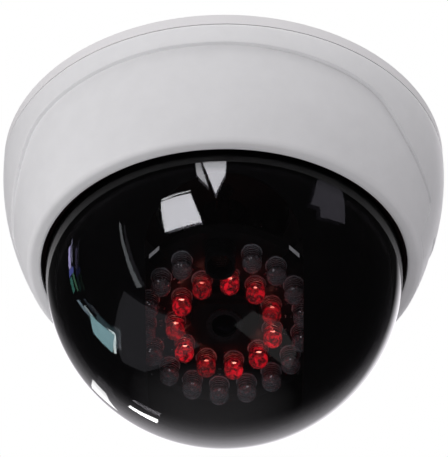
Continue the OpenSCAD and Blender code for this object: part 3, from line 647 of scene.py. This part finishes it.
def build_cover():
    seg = 720
    cols = []
    edge = math.radians(EDGE_A)
    z_e = LIP_Z + LIP_EDGE * (1 - math.sin(edge))
    r0 = wall_r(z_e) - LIP_EDGE * math.cos(edge)
    crossing = [edge_z(2 * math.pi * k / seg) for k in range(seg)]
    for _ in range(2):
        crossing = [(crossing[k - 1] + 2 * crossing[k] + crossing[(k + 1) % seg]) / 4 for k in range(seg)]
    for k in range(seg):
        th = 2 * math.pi * k / seg
        zs = crossing[k]
        col = []
        # outer band above the relief edge, top edge rounded
        col += [(wall_r(COVER_TOP) - 0.3, COVER_TOP), (wall_r(COVER_TOP) - 0.09, COVER_TOP - 0.07), (wall_r(COVER_TOP - 0.3), COVER_TOP - 0.3)]
        top = COVER_TOP - 0.3
        for i in range(1, 13):
            z = top + (zs + 0.3 - top) * i / 12
            col.append((wall_r(z), z))
        d = relief(zs)
        e = min(0.25, d * 0.4)
        col += [(wall_r(zs + 0.1) - e * 0.2, zs + 0.1), (wall_r(zs) - e, zs)]
        g = min(0.16, d * 0.5)
        col += [(wall_r(zs) - d - g * 0.5, zs - 0.03), (wall_r(zs) - d - g, zs - 0.12), (wall_r(zs - 0.3) - relief(zs - 0.3) - g * 0.8, zs - 0.3),
                (wall_r(zs - 0.55) - relief(zs - 0.55), zs - 0.5)]
        z0, z1 = zs - 0.55, z_e
        for i in range(1, 31):
            z = z0 + (z1 - z0) * i / 30
            col.append((wall_r(z) - relief(z), z))
        for a in range(1, 11):
            a = edge + (math.pi / 2 - edge) * a / 10
            col.append((r0 + LIP_EDGE * math.cos(a), LIP_Z + LIP_EDGE - LIP_EDGE * math.sin(a)))
        for i in range(1, 4):
            col.append((r0 + (OPEN_R + 0.3 - r0) * i / 3, LIP_Z))
        col += [(OPEN_R + 0.09, LIP_Z + 0.09), (OPEN_R, LIP_Z + 0.3), (OPEN_R, LIP_Z + LIP_T - 0.15), (OPEN_R + 0.15, LIP_Z + LIP_T)]
        ri = wall_r(LIP_Z + LIP_T) - WALL + 0.15
        col += [(ri - 0.3, LIP_Z + LIP_T), (ri, LIP_Z + LIP_T + 0.3)]
        for i in range(1, 8):
            z = LIP_Z + LIP_T + 0.3 + (COVER_TOP - LIP_Z - LIP_T - 0.3) * i / 7
            r_top = wall_r(COVER_TOP) - WALL
            col.append((ri + (r_top - ri) * i / 7, z))
        cols.append([(r * math.cos(th), r * math.sin(th), z) for r, z in col])
    m = Mesh()
    n = len(cols[0])
    verts = [p for c in cols for p in c]
    faces = []
    for k in range(seg):
        k2 = (k + 1) % seg
        for i in range(n):
            i2 = (i + 1) % n
            faces.append((k * n + i, k * n + i2, k2 * n + i2, k2 * n + i))
    m.add(verts, faces)
    # inside: bosses of the clamp ring, with their pilot holes, and the bayonet lugs
    for q in range(4):
        T = Matrix.Rotation(math.radians(45 + 90 * q), 4, "Z") @ Matrix.Translation((50.2, 0, 0))
        m.lathe([(1.15, SEAT + 6.9), (2.45, SEAT + 6.9), (2.6, SEAT + 6.75), (2.6, SEAT + 2), (1.15, SEAT + 2)], seg=40, M=T, closed=True)
        m.block((2.2, -0.8, SEAT + 2.1), (3.7, 0.8, SEAT + 6.8), 0.15, 0, T)
    for q in range(3):
        a0 = math.radians(120 * q)
        verts, faces = [], []
        ns = 12
        for i in range(ns + 1):
            a = a0 + math.radians(-5 + 10 * i / ns)
            for r, z in ((54.0, -4.55), (54.15, -4.4), (57.9, -4.4), (57.9, -6.6), (54.15, -6.6), (54.0, -6.45)):
                verts.append((r * math.cos(a), r * math.sin(a), z))
        for i in range(ns):
            for c in range(6):
                c2 = (c + 1) % 6
                faces.append((i * 6 + c, i * 6 + c2, (i + 1) * 6 + c2, (i + 1) * 6 + c))
        faces += [tuple(range(6)), tuple(ns * 6 + c for c in range(5, -1, -1))]
        m.add(verts, faces)
    o = m.make("cover_shell_moulding", [M["housing"]], 28)
    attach(o, "cover")
    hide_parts("cover_shell")
    return o


build_cover()


# ------------------------------------------------------------------ dome
def build_dome():
    m = Mesh()
    outer = [(DOME_R * math.sin(a), ZC - DOME_R * math.cos(a)) for a in [math.pi / 2 * i / 80 for i in range(81)]]
    outer += [(DOME_R, SEAT - 3.25)]
    flange = [(47.42, SEAT - 2.75), (47.62, SEAT - 2.3), (48.1, SEAT - 2.05), (49.55, SEAT - 2.0), (49.7, SEAT - 1.85), (49.7, SEAT - 0.15),
              (49.55, SEAT), (45.5, SEAT), (45.3, SEAT - 0.2)]
    inner = [(DOME_IN * math.sin(a), ZC - DOME_IN * math.cos(a)) for a in [math.pi / 2 * (80 - i) / 80 for i in range(81)]]
    seg = 288
    m.lathe(outer + flange + inner, seg=seg)
    no, nf = len(outer), len(flange)
    mats = []
    for r in range(len(outer) + len(flange) + len(inner) - 1):
        mats += [0 if r < no - 1 else (1 if r < no + nf - 2 else 2)] * seg
    m.m = mats
    o = m.make("smoked_dome_shell", [M["dome"], M["flange"], M["dome_in"]], 40)
    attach(o, "cover")
    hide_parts("dome")
    return o


build_dome()


# ------------------------------------------------------------------ lamps
def clock(r, deg):
    t = math.radians(deg)
    return r * math.sin(t), -r * math.cos(t)


OUTER = [clock(20.1, 20.34 + 20.51 * i) for i in range(16)]
INNER = [clock(12.6, 6.1 + 360 / 11 * i) for i in range(11)]


def lamp_body(m, T, spin):
    """5 mm epoxy lamp: flange with a flat on one side, straight body, domed tip."""
    r = 2.5
    prof = [(0.0, -0.05), (2.6, -0.05), (2.76, -0.16), (2.8, -0.3), (2.8, -0.82), (2.74, -0.95), (2.6, -1.0), (2.52, -1.08), (2.5, -1.3)]
    prof += [(r, -1.3 - (6.1 - 1.3) * i / 10) for i in range(1, 11)]
    prof += [(r * math.cos(a), -6.1 - r * math.sin(a)) for a in [math.radians(90 * i / 14) for i in range(1, 14)]]
    prof += [(0.0, -8.6)]

    def flat(rr, a):
        if rr <= 2.5:
            return rr
        c = math.cos(a - spin)
        return min(rr, 2.55 / c) if c > 0.2 else rr

    m.lathe(prof, seg=40, M=T, scallop=flat)


def ball(m, T, c, size, mat, n=10):
    """Small closed ellipsoid."""
    prof = [(math.sin(math.pi * i / n), -math.cos(math.pi * i / n)) for i in range(n + 1)]
    prof[0], prof[-1] = (0.0, -1.0), (0.0, 1.0)
    m.lathe(prof, seg=16, mat=mat, M=T @ Matrix.Translation(c) @ Matrix.Diagonal((*size, 1)))


def lamp_frame(m, T, spin, lit):
    """Lead frame inside: anvil with its reflector cup, post, bond wire, and legs through the board; and small glowing
    beads that are painted glints.
    """
    R = T @ Matrix.Rotation(spin, 4, "Z")
    m.block((-1.35, -0.22, -3.2), (0.35, 0.22, -1.4), 0.06, 0, R)
    m.block((-0.75, -0.2, -4.2), (0.6, 0.2, -3.1), 0.06, 0, R)
    m.block((0.75, -0.2, -4.0), (1.45, 0.2, -1.6), 0.06, 0, R)
    # in a lit lamp the reflector cup takes the glowing cup material, painted light from the die
    m.lathe([(0.15, -4.05), (0.62, -4.05), (0.92, -4.75), (0.98, -4.78), (0.9, -4.85), (0.55, -4.35), (0.0, -4.3)], seg=24, mat=1 if lit else 0, M=R)
    m.tube([(0.1, 0, -4.6), (0.25, 0, -4.95), (0.6, 0, -5.0), (0.95, 0, -4.5), (1.05, 0, -4.0)], 0.05, 6, 0, R)
    m.tube([(-1.27, 0, -1.6), (-1.27, 0, 0.2), (-1.27, 0, 1.9)], 0.22, 6, 0, R)
    m.tube([(1.27, 0, -1.8), (1.27, 0, 0.2), (1.27, 0, 1.9)], 0.22, 6, 0, R)
    if lit:
        # the lit die, drawn wide by the lens, and glowing beads that are painted glints
        ball(m, T, (rng.uniform(-0.2, 0.2), -1.3, -4.6), (0.62 + rng.uniform(-0.15, 0.1), 0.2, 0.22), 2)
        for _ in range(4):
            a, rr = rng.uniform(0, 6.28), rng.uniform(0.6, 1.9)
            ball(m, T, (rr * math.cos(a), rr * math.sin(a), rng.uniform(-7.0, -5.2)), (0.16, 0.1, 0.1), 3, 6)
    else:
        # painted highlights: small glowing beads stand in for glints of light on the lens tip
        for _ in range(2):
            ball(m, T, (rng.uniform(-0.9, 0.4), rng.uniform(-1.5, -0.9), rng.uniform(-5.6, -4.8)), (0.17, 0.15, 0.15), 2, 6)


def lamps(points, lit, prefix, cad_node):
    bodies, frames = Mesh(), Mesh()
    for i, (x, y) in enumerate(points):
        T = at(x, y, -BOARD_H)
        spin = math.atan2(y, x) + math.pi / 2 + rng.uniform(-0.25, 0.25)
        lamp_body(bodies, T, spin)
        lamp_frame(frames, T, spin, lit)
    b = bodies.make(prefix + "_epoxy", [M["epoxy_red"] if lit else M["epoxy"]], 40)
    inv = MODULE.inverted()
    att = b.data.attributes.new("depth", "FLOAT", "POINT")
    att.data.foreach_set("value", [-(inv @ (v.co / MM)).z - BOARD_H for v in b.data.vertices])
    f = frames.make(prefix + "_lead_frames_and_painted_glints", [M["tin"], M["cup_lit"], M["die"], M["spark_red"]] if lit else [M["tin"], M["tin"], M["spark"]], 40)
    for o in (b, f):
        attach(o, "tilt")
    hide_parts(cad_node)
    return b, f


lamps(OUTER, False, "outer_lamps", "outer_leds")
lamps(INNER, True, "inner_lamps", "inner_leds")

# ------------------------------------------------------------------ light sensor hood and cell
hx, hy = clock(19.2, -3)
m = Mesh()
T = at(hx, hy, -BOARD_H)
m.lathe([(3.02, -0.05), (3.9, -0.05), (4.08, -0.2), (4.08, -0.9), (3.72, -1.05), (3.72, -1.35), (3.95, -1.5), (3.95, -1.85), (3.66, -2.0), (3.66, -2.3),
         (3.9, -2.45), (3.9, -2.8), (3.7, -2.95), (3.78, -3.6), (3.85, -5.0), (4.0, -7.7), (3.95, -8.05), (3.8, -8.2), (3.35, -8.2), (3.2, -8.1),
         (3.1, -7.8), (3.02, -6.4), (3.02, -2.0)], seg=64, M=T, closed=True)
o = m.make("sensor_hood_tube", [M["hood"]], 32)
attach(o, "tilt"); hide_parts("sensor_hood")

m = Mesh()
m.lathe([(0.0, -0.05), (2.45, -0.05), (2.6, -0.2), (2.6, -3.8), (2.5, -4.05), (2.1, -4.2), (1.9, -4.32), (0.0, -4.4)], seg=48, M=T)
for i in range(7):
    y = -1.5 + i * 0.5
    w = math.sqrt(max(0.0, 1.9 ** 2 - y * y)) * 0.85
    pts = [(-w if i % 2 else w, y, -4.36), (w if i % 2 else -w, y, -4.36)]
    m.tube(pts, 0.09, 6, 1, T)
    if i < 6:
        m.tube([pts[1], (pts[1][0], y + 0.5, -4.36)], 0.09, 6, 1, T)
o = m.make("photocell_disc", [M["cell"], M["tin"]], 32)
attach(o, "tilt"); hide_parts("photocell")

# ------------------------------------------------------------------ lead down to the module
LEAD_B = [(0, 0, -13.1), (0, 0, -15), (0, 0.1, -17.3), (0, 0.5, -20.2), (0, 1.4, -23.2), (0, 2.7, -26.6), (0, 4.1, -29.9),
          (0, 5.2, -33.1), (0, 5.75, -35.9), (0, 5.65, -38), (0, 5.1, -39.6), (0, 4.46, -41.08)]


def catmull(pts, n=5):
    P = [Vector(p) for p in pts]
    out = []
    for i in range(len(P) - 1):
        p0, p1, p2, p3 = P[max(i - 1, 0)], P[i], P[i + 1], P[min(i + 2, len(P) - 1)]
        for k in range(n):
            t = k / n
            out.append(0.5 * ((2 * p1) + (p2 - p0) * t + (2 * p0 - 5 * p1 + 4 * p2 - p3) * t * t + (3 * p1 - p0 - 3 * p2 + p3) * t ** 3))
    out.append(P[-1])
    return out


m = Mesh()
path = catmull(LEAD_B)
m.tube(path, 1.45, 20)
lead = m.make("camera_lead_sheath", [M["lead"]], 60)
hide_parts("camera_lead")
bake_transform(lead)

# ------------------------------------------------------------------ clips over the cradle's rim
m = Mesh()
for deg in (-134, -46, 46, 134):
    T = MODULE @ Matrix.Rotation(math.radians(deg), 4, "Z")
    w, top = 1.78, -BOARD_H - 1.3
    m.block((22.97, -w, top + 0.02), (25.5, w, top + 0.38), 0.1, 0, T)
    m.block((22.97, -w, top + 0.2), (23.33, w, -BOARD_H - 0.03), 0.08, 0, T)
    m.block((25.24, -w, top + 0.1), (25.56, w, -BOARD_H + 2.75), 0.1, 0, T)
    # painted glint: the thin strip on each clip's outer face glows
    m.block((25.5, -w, top + 1.2), (25.64, w, top + 3.3), 0.05, 1, T)
o = m.make("board_clips_sprung", [M["clip_dark"], M["clip"]], 35)
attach(o, "tilt"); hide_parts("board_clips")

# ------------------------------------------------------------------ small parts on the boards
m = Mesh()
for i in range(22):
    a = rng.uniform(0, 2 * math.pi)
    r = rng.choice([15.3, 15.5, 15.7])
    k = 10 + i * 15.9
    x, y = clock(16.35, k)
    R = at(x, y, -BOARD_H) @ Matrix.Rotation(math.radians(k + 90 * (i % 2)), 4, "Z")
    if math.hypot(x - hx, y - hy) < 5.2:
        continue
    near = min(math.hypot(x - px, y - py) for px, py in OUTER + INNER)
    if near < 3.75:
        continue
    m.block((-0.8, -0.4, -0.45), (0.8, 0.4, 0.0), 0.06, 0, R)
    m.block((-0.86, -0.42, -0.47), (-0.55, 0.42, 0.0), 0.05, 1, R)
    m.block((0.55, -0.42, -0.47), (0.86, 0.42, 0.0), 0.05, 1, R)
# solder fillets of the lamps at the back of the board
for x, y in OUTER + INNER:
    ang = math.atan2(y, x) + math.pi / 2
    for s in (-1.27, 1.27):
        m.lathe([(0.75, 0.0), (0.5, 0.18), (0.27, 0.5), (0.0, 0.62)], seg=12, mat=1,
                M=at(x + s * math.cos(ang), y + s * math.sin(ang), -BOARD_H + 1.6))
if m.f:
    o = m.make("lamp_board_parts", [M["chip"], M["tin"]], 40)
    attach(o, "tilt")

m = Mesh()
for i in range(8):
    x = 2.0 + 1.6 * (i % 4)
    y = 0.4 - 1.9 * (i // 4)
    R = at(x, y, -10.4)
    m.block((-0.55, -0.32, 0.0), (0.55, 0.32, 0.42), 0.05, 0, R)
for i in range(14):
    m.block((-9.3 + i * 0.54, -8.75, -10.4), (-9.0 + i * 0.54, -8.0, -10.1), 0.03, 1, MODULE)
    m.block((-9.3 + i * 0.54, -1.0, -10.4), (-9.0 + i * 0.54, -0.3, -10.1), 0.03, 1, MODULE)
o = m.make("sensor_board_parts", [M["chip"], M["tin"]], 40)
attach(o, "tilt")

m = Mesh()
for i in range(9):
    x, y = 3.0 - 0.0 + (i % 3) * 1.7, 31.5 + (i // 3) * 1.4
    m.block((x, y, -6.55), (x + 1.1, y + 0.6, -6.1), 0.05, 0)
for x, y in [(-13, 40), (-6.6, 40), (-14, 34.2)]:
    m.lathe([(0.0, -6.2), (1.1, -6.2), (1.2, -6.15), (0.0, -6.1)], seg=16, mat=1, M=Matrix.Translation((x, y, 0)))
o = m.make("power_board_parts", [M["chip"], M["tin"]], 40)
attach(o, "base")

# ------------------------------------------------------------------ light for the lit lamps
for i, (x, y) in enumerate(INNER):
    L = bpy.data.lights.new(f"lamp_glow_{i}", "POINT")
    L.color = (1.0, 0.07, 0.05)
    L.energy = 0.0009
    L.shadow_soft_size = 0.0012
    lo = bpy.data.objects.new(f"lamp_glow_{i}", L)
    scene.collection.objects.link(lo)
    lo.matrix_world = Matrix.Translation(MODULE_M @ Vector((x * MM, y * MM, (-BOARD_H - 5.2) * MM)))
    lo.visible_camera = False
    lo.visible_glossy = False
    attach(lo, "tilt")

# red light that leaks back over the boards and shows the mechanism faintly
for i, (p, e) in enumerate([((0, -10, -22), 0.00026), ((12, -14, -24), 0.00020), ((-12, -14, -24), 0.00016)]):
    L = bpy.data.lights.new(f"lamp_leak_{i}", "POINT")
    L.color = (1.0, 0.30, 0.26)
    L.energy = e
    L.shadow_soft_size = 0.003
    lo = bpy.data.objects.new(f"lamp_leak_{i}", L)
    scene.collection.objects.link(lo)
    lo.location = Vector(p) * MM
    lo.visible_camera = False
    lo.visible_glossy = False
    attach(lo, "pan")

# ------------------------------------------------------------------ camera
scene.view_settings.view_transform = "Standard"
scene.view_settings.look = "None"
cam = bpy.data.cameras.new("camera")
cam.sensor_width = 36
cam.lens = 197.427
cam.clip_start = 0.01
cam_o = bpy.data.objects.new("camera", cam)
scene.collection.objects.link(cam_o)
eye = Vector((0, -0.5177091, -0.4526232))
fwd = Vector((0.0000036, 0.7685093, 0.6398386)).normalized()
right2 = Vector((0.9999781, 0.0042282, -0.0050842))
right2 = (right2 - fwd * right2.dot(fwd)).normalized()
up2 = right2.cross(fwd)
rot = Matrix((right2, up2, -fwd)).transposed().to_4x4()
cam_o.matrix_world = Matrix.Translation(eye) @ rot
scene.camera = cam_o

# ------------------------------------------------------------------ studio
def card(name, corners, strength, colour=(1, 1, 1), dist=1.35):
    """Flat light panel. corners: (azimuth from the front, elevation) in degrees, seen from the dome."""
    c = Vector((0, 0, ZC * MM))
    pts = []
    for az, el in corners:
        a, e = math.radians(az), math.radians(el)
        pts.append(c + dist * Vector((math.sin(a) * math.cos(e), -math.cos(a) * math.cos(e), math.sin(e))))
    me = bpy.data.meshes.new(name)
    me.from_pydata([tuple(p) for p in pts], [], [tuple(range(len(pts)))])
    o = bpy.data.objects.new(name, me)
    scene.collection.objects.link(o)
    mat = bpy.data.materials.new(name)
    t = nt(mat)
    out = t.nodes.new("ShaderNodeOutputMaterial")
    e = t.nodes.new("ShaderNodeEmission")
    e.inputs["Color"].default_value = (*colour, 1)
    e.inputs["Strength"].default_value = strength
    link(t, e.outputs[0], out.inputs[0])
    me.materials.append(mat)
    o.visible_camera = False
    o.visible_shadow = False
    o.visible_diffuse = False
    return o


card("window_left", [(-36.5, 10.6), (-18.8, 11.6), (-13.0, -8.0), (-36.2, -8.9)], 11.0, (0.95, 0.95, 1.0))
card("window_left_bar", [(-36.7, 12.2), (-19.2, 13.8), (-18.9, 13.1), (-35.1, 11.2)], 9.0, (0.95, 0.95, 1.0))
card("window_top", [(-13.3, 34.2), (1.7, 34.5), (1.2, 23.7), (-4.6, 9.3)], 10.0, (0.95, 0.95, 1.0))
card("window_top_bar", [(-17.2, 34.5), (-14.5, 34.4), (-8.6, 14.6), (-15.3, 23.3)], 6.0, (0.95, 0.95, 1.0))
card("panel_right", [(60.5, 34.8), (76.5, 33.9), (75.4, 14.8), (58.1, 9.6), (57.4, 15.3), (51.3, 14.3), (56.7, 29.1)], 0.55, (0.88, 0.84, 1.0))
card("streak_lilac", [(-107.6, 23.4), (-105.4, 22.9), (-107.2, 15.2), (-109.9, 16.2)], 5.5, (0.62, 0.56, 1.0))
card("streak_lilac_thin", [(-104.2, 24.6), (-103.4, 24.4), (-104.9, 16.0), (-105.9, 16.2)], 2.6, (0.7, 0.7, 1.0))
card("streak_blue", [(-109.9, 15.9), (-105.0, 14.2), (-105.6, 12.2), (-111.0, 13.4)], 2.6, (0.25, 0.3, 1.0))
card("streak_teal", [(-111.0, 13.0), (-108.6, 12.3), (-109.4, 6.8), (-112.2, 7.4)], 1.7, (0.2, 0.7, 0.55))
card("streak_teal_thin", [(-107.4, 12.6), (-105.9, 12.2), (-106.6, 4.2), (-108.1, 4.8)], 1.5, (0.3, 0.75, 0.45))
card("streak_cyan", [(-108.0, -7.3), (-106.8, -25.7), (-119.8, -22.5), (-116.2, -9.9)], 5.6, (0.5, 0.85, 0.92))
card("streak_cyan_edge", [(-105.9, -20.5), (-105.4, -26.6), (-119.0, -25.0), (-119.4, -23.3), (-107.6, -24.6)], 11.0, (0.9, 1.0, 1.0))
card("streak_cyan_arm", [(-108.8, -2.4), (-107.8, -2.8), (-107.4, -9.6), (-108.6, -9.2)], 5.0, (0.85, 0.95, 1.0))
card("streak_small", [(-111.9, 4.0), (-110.0, 2.3), (-107.9, -8.1), (-110.1, -6.8)], 2.6, (0.6, 0.8, 0.95))
card("streak_low", [(-154.1, -3.5), (-152.8, -6.5), (-160.0, -12.4), (-162.0, -6.8)], 14.0)
card("streak_side", [(-160.5, 21.0), (-149.0, 8.5), (-152.5, 6.0), (-163.5, 16.5)], 3.4)
card("streak_thin", [(-63.8, 9.9), (-62.5, 9.2), (-63.0, -9.8), (-64.7, -29.6), (-68.2, -27.8), (-65.1, -9.1)], 1.6, (0.9, 0.95, 1.0))
card("bounce_left", [(-77.5, -22.8), (-64.5, -51.6), (-76.7, -75.7), (-126.6, -39.4), (-123.0, -27.3), (-100.5, -25.2)], 0.28, (0.9, 0.9, 1.0))
card("bounce_right", [(17.4, -71.8), (34.9, -59.9), (69.4, -54.8), (105.7, -49.0), (125.0, -49.1), (81.2, -71.4)], 0.28, (0.9, 0.95, 0.95))


# the panels shine on the dome alone, so the matt housing keeps its outline when seen from behind
glassy = bpy.data.collections.new("glassy")
for o in scene.objects:
    if o.name.startswith("smoked_dome_shell"):
        glassy.objects.link(o)
for o in scene.objects:
    if o.name.startswith(("window_", "panel_", "streak_", "bounce_")):
        o.light_linking.receiver_collection = glassy


def area(name, az, el, dist, size, energy, colour=(1, 1, 1), glossy=False):
    L = bpy.data.lights.new(name, "AREA")
    L.shape = "DISK"
    L.size = size
    L.energy = energy
    L.color = colour
    o = bpy.data.objects.new(name, L)
    scene.collection.objects.link(o)
    a, e = math.radians(az), math.radians(el)
    d = Vector((math.sin(a) * math.cos(e), -math.cos(a) * math.cos(e), math.sin(e)))
    o.location = Vector((0, 0, ZC * MM)) + d * dist
    o.rotation_euler = d.to_track_quat("Z", "Y").to_euler()
    o.visible_camera = False
    o.visible_glossy = glossy
    return o


area("softbox_left", -80, 0, 1.7, 1.2, 4.0)
area("softbox_right", 56, 50, 1.7, 1.2, 5.6)
area("softbox_front", -2, 10, 1.7, 0.8, 4.7)
area("softbox_low", -48, -38, 1.7, 1.2, 9.1)
area("softbox_top", 0, 78, 1.7, 1.2, 20.0)
area("softbox_back", 180, -25, 1.7, 1.2, 2.4)
area("rim_left", -118, -26, 1.7, 0.9, 3.6)
area("rim_right", 122, -14, 1.7, 0.9, 3.0)

world = bpy.data.worlds.new("studio")
scene.world = world
world.use_nodes = True
t = world.node_tree
t.nodes.clear()
out = t.nodes.new("ShaderNodeOutputWorld")
tc = t.nodes.new("ShaderNodeTexCoord")


def lobe(direction, outer_deg, inner_deg, strength, power=1.0):
    """Soft patch of light: full inside inner_deg of the direction, gone outside outer_deg."""
    d = t.nodes.new("ShaderNodeVectorMath")
    d.operation = "DOT_PRODUCT"
    link(t, tc.outputs["Generated"], d.inputs[0])
    d.inputs[1].default_value = Vector(direction).normalized()
    f = remap(t, d.outputs["Value"], 0.0, 1.0, math.cos(math.radians(outer_deg)), math.cos(math.radians(inner_deg)))
    if power != 1.0:
        f = math_node(t, "POWER", f, power)
    return math_node(t, "MULTIPLY", f, strength)


backdrop = lobe((0.12, 0.80, 0.585), 29, 13, 1.5, 1.3)
horizon = lobe((0.0, 0.985, 0.174), 42, 8, 0.9, 2.0)
below = lobe((-0.1, 0.72, -0.69), 36, 12, 0.22)
overhead = lobe((0.0, 0.30, 0.95), 42, 10, 0.2)
v = math_node(t, "ADD", math_node(t, "MAXIMUM", backdrop, horizon), math_node(t, "MAXIMUM", below, overhead))
v = math_node(t, "ADD", v, 0.02)
lp = t.nodes.new("ShaderNodeLightPath")
v = math_node(t, "ADD", v, math_node(t, "MULTIPLY", lp.outputs["Is Diffuse Ray"], 0.35))
bg = t.nodes.new("ShaderNodeBackground")
bg.inputs["Color"].default_value = (0.98, 0.95, 1.0, 1)
link(t, v, bg.inputs["Strength"])
white = t.nodes.new("ShaderNodeBackground")
white.inputs["Color"].default_value = (1, 1, 1, 1)
white.inputs["Strength"].default_value = 1.0
mx = t.nodes.new("ShaderNodeMixShader")
link(t, lp.outputs["Is Camera Ray"], mx.inputs[0])
link(t, bg.outputs[0], mx.inputs[1])
link(t, white.outputs[0], mx.inputs[2])
link(t, mx.outputs[0], out.inputs[0])

# pale floor, well below the hanging camera
me = bpy.data.meshes.new("floor")
s = 7.0
me.from_pydata([(-s, -s, -2.4), (s, -s, -2.4), (s, s, -2.4), (-s, s, -2.4)], [], [(0, 1, 2, 3)])
floor = bpy.data.objects.new("floor", me)
scene.collection.objects.link(floor)
me.materials.append(surface("floor_paint", (0.82, 0.82, 0.81), rough=0.7, vary=0.01, mottle=2, grain=40, grain_mm=0.1))
floor.visible_glossy = False
floor.visible_diffuse = False
